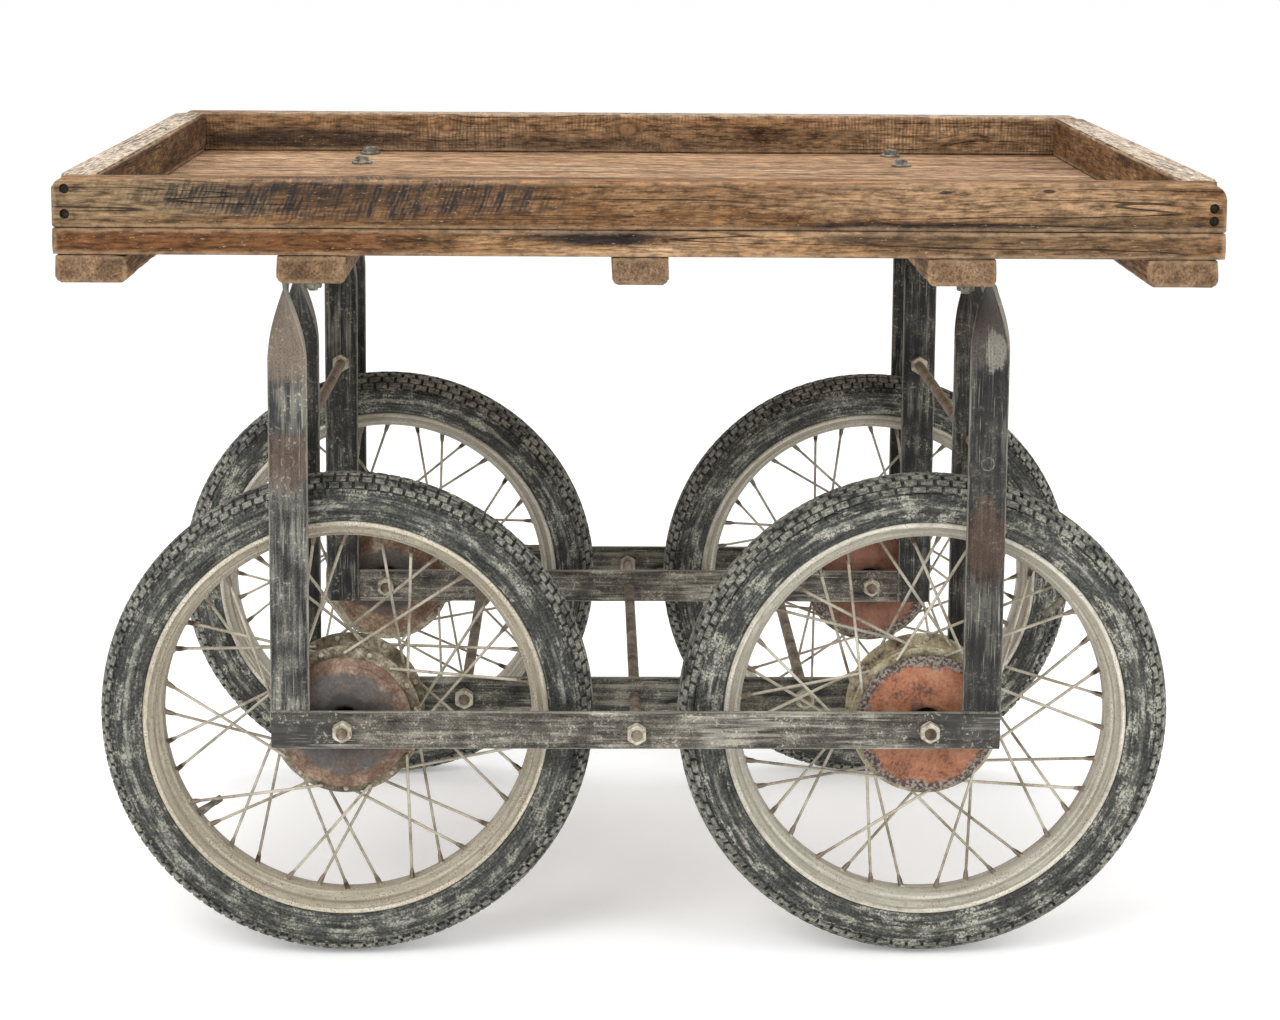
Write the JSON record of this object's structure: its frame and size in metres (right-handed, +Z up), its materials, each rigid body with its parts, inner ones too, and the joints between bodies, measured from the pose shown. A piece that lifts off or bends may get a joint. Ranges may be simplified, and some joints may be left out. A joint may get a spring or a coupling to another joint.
{
  "type": "street vendor hand cart",
  "caption": "Hand cart with a shallow reclaimed-wood tray on twisted flat-bar steel legs and spoked wheels that turn freely.",
  "frame": {"origin": "on the ground, midway between the four wheels and under the middle of the tray", "axes": "+Z up, +X along the tray's length and the way the wheels roll, +Y across the tray from the near side to the far side"},
  "size_m": [1.16, 0.775, 0.84],
  "materials": {
    "rim_wood": "reclaimed orange-brown hardwood, saw marks, dark stains, worn pale edges",
    "floor_wood": "sanded greyish-brown reclaimed planks with cracks",
    "beam_wood": "reclaimed brown hardwood, rounded worn edges",
    "leg_steel": "blackened flat bar with chalky scratches and brown rust",
    "bar_steel": "brown-grey streaky worn flat bar",
    "rusty_steel": "brown rusted steel",
    "fastener_steel": "dull weathered steel",
    "tyre_rubber": "worn charcoal rubber with pale clay dust",
    "tube_rubber": "black butyl rubber",
    "rim_paint": "cream paint with rust speckle",
    "spoke_steel": "dull zinc with brown and cream grime",
    "red_oxide": "red oxide paint, greasy dark edge and rust",
    "bearing_steel": "ground steel, oily"
  },
  "bodies": {
    "frame": {"rim_board_front": "rim_wood", "rim_board_back": "rim_wood", "rim_board_left": "rim_wood", "rim_board_right": "rim_wood", "floor_plank_1": "floor_wood", "floor_plank_2": "floor_wood", "floor_plank_3": "floor_wood", "floor_plank_4": "floor_wood", "crossbeam_1": "beam_wood", "crossbeam_2": "beam_wood", "crossbeam_3": "beam_wood", "crossbeam_4": "beam_wood", "crossbeam_5": "beam_wood", "leg_near_outer_left": "leg_steel", "leg_near_outer_right": "leg_steel", "leg_near_inner_left": "leg_steel", "leg_near_inner_right": "leg_steel", "leg_far_inner_left": "leg_steel", "leg_far_inner_right": "leg_steel", "leg_far_outer_left": "leg_steel", "leg_far_outer_right": "leg_steel", "bar_near_outer": "bar_steel", "bar_near_inner": "bar_steel", "bar_far_inner": "bar_steel", "bar_far_outer": "bar_steel", "upper_rods": "rusty_steel", "lower_tie_rods": "rusty_steel", "axles": "rusty_steel", "axle_spacers": "fastener_steel", "frame_nuts": "fastener_steel", "floor_bolts": "fastener_steel", "rim_screws": "fastener_steel"},
    "wheel_near_left": {"tyre_near_left": "tyre_rubber", "inner_tube_near_left": "tube_rubber", "rim_near_left": "rim_paint", "spokes_near_left": "spoke_steel", "hub_near_left": "rusty_steel", "drum_cover_near_left": "red_oxide", "bearings_near_left": "bearing_steel"},
    "wheel_near_right": {"tyre_near_right": "tyre_rubber", "inner_tube_near_right": "tube_rubber", "rim_near_right": "rim_paint", "spokes_near_right": "spoke_steel", "hub_near_right": "rusty_steel", "drum_cover_near_right": "red_oxide", "bearings_near_right": "bearing_steel"},
    "wheel_far_left": {"tyre_far_left": "tyre_rubber", "inner_tube_far_left": "tube_rubber", "rim_far_left": "rim_paint", "spokes_far_left": "spoke_steel", "hub_far_left": "rusty_steel", "drum_cover_far_left": "red_oxide", "bearings_far_left": "bearing_steel"},
    "wheel_far_right": {"tyre_far_right": "tyre_rubber", "inner_tube_far_right": "tube_rubber", "rim_far_right": "rim_paint", "spokes_far_right": "spoke_steel", "hub_far_right": "rusty_steel", "drum_cover_far_right": "red_oxide", "bearings_far_right": "bearing_steel"}
  },
  "joints": [
    {"name": "near_left_wheel_spin", "type": "hinge", "parent": "frame", "child": "wheel_near_left", "pos_m": [-0.304, -0.2685, 0.26], "axis": [0, 1, 0], "continuous": true},
    {"name": "near_right_wheel_spin", "type": "hinge", "parent": "frame", "child": "wheel_near_right", "pos_m": [0.304, -0.2685, 0.26], "axis": [0, 1, 0], "continuous": true},
    {"name": "far_left_wheel_spin", "type": "hinge", "parent": "frame", "child": "wheel_far_left", "pos_m": [-0.304, 0.2685, 0.26], "axis": [0, 1, 0], "continuous": true},
    {"name": "far_right_wheel_spin", "type": "hinge", "parent": "frame", "child": "wheel_far_right", "pos_m": [0.304, 0.2685, 0.26], "axis": [0, 1, 0], "continuous": true}
  ]
}
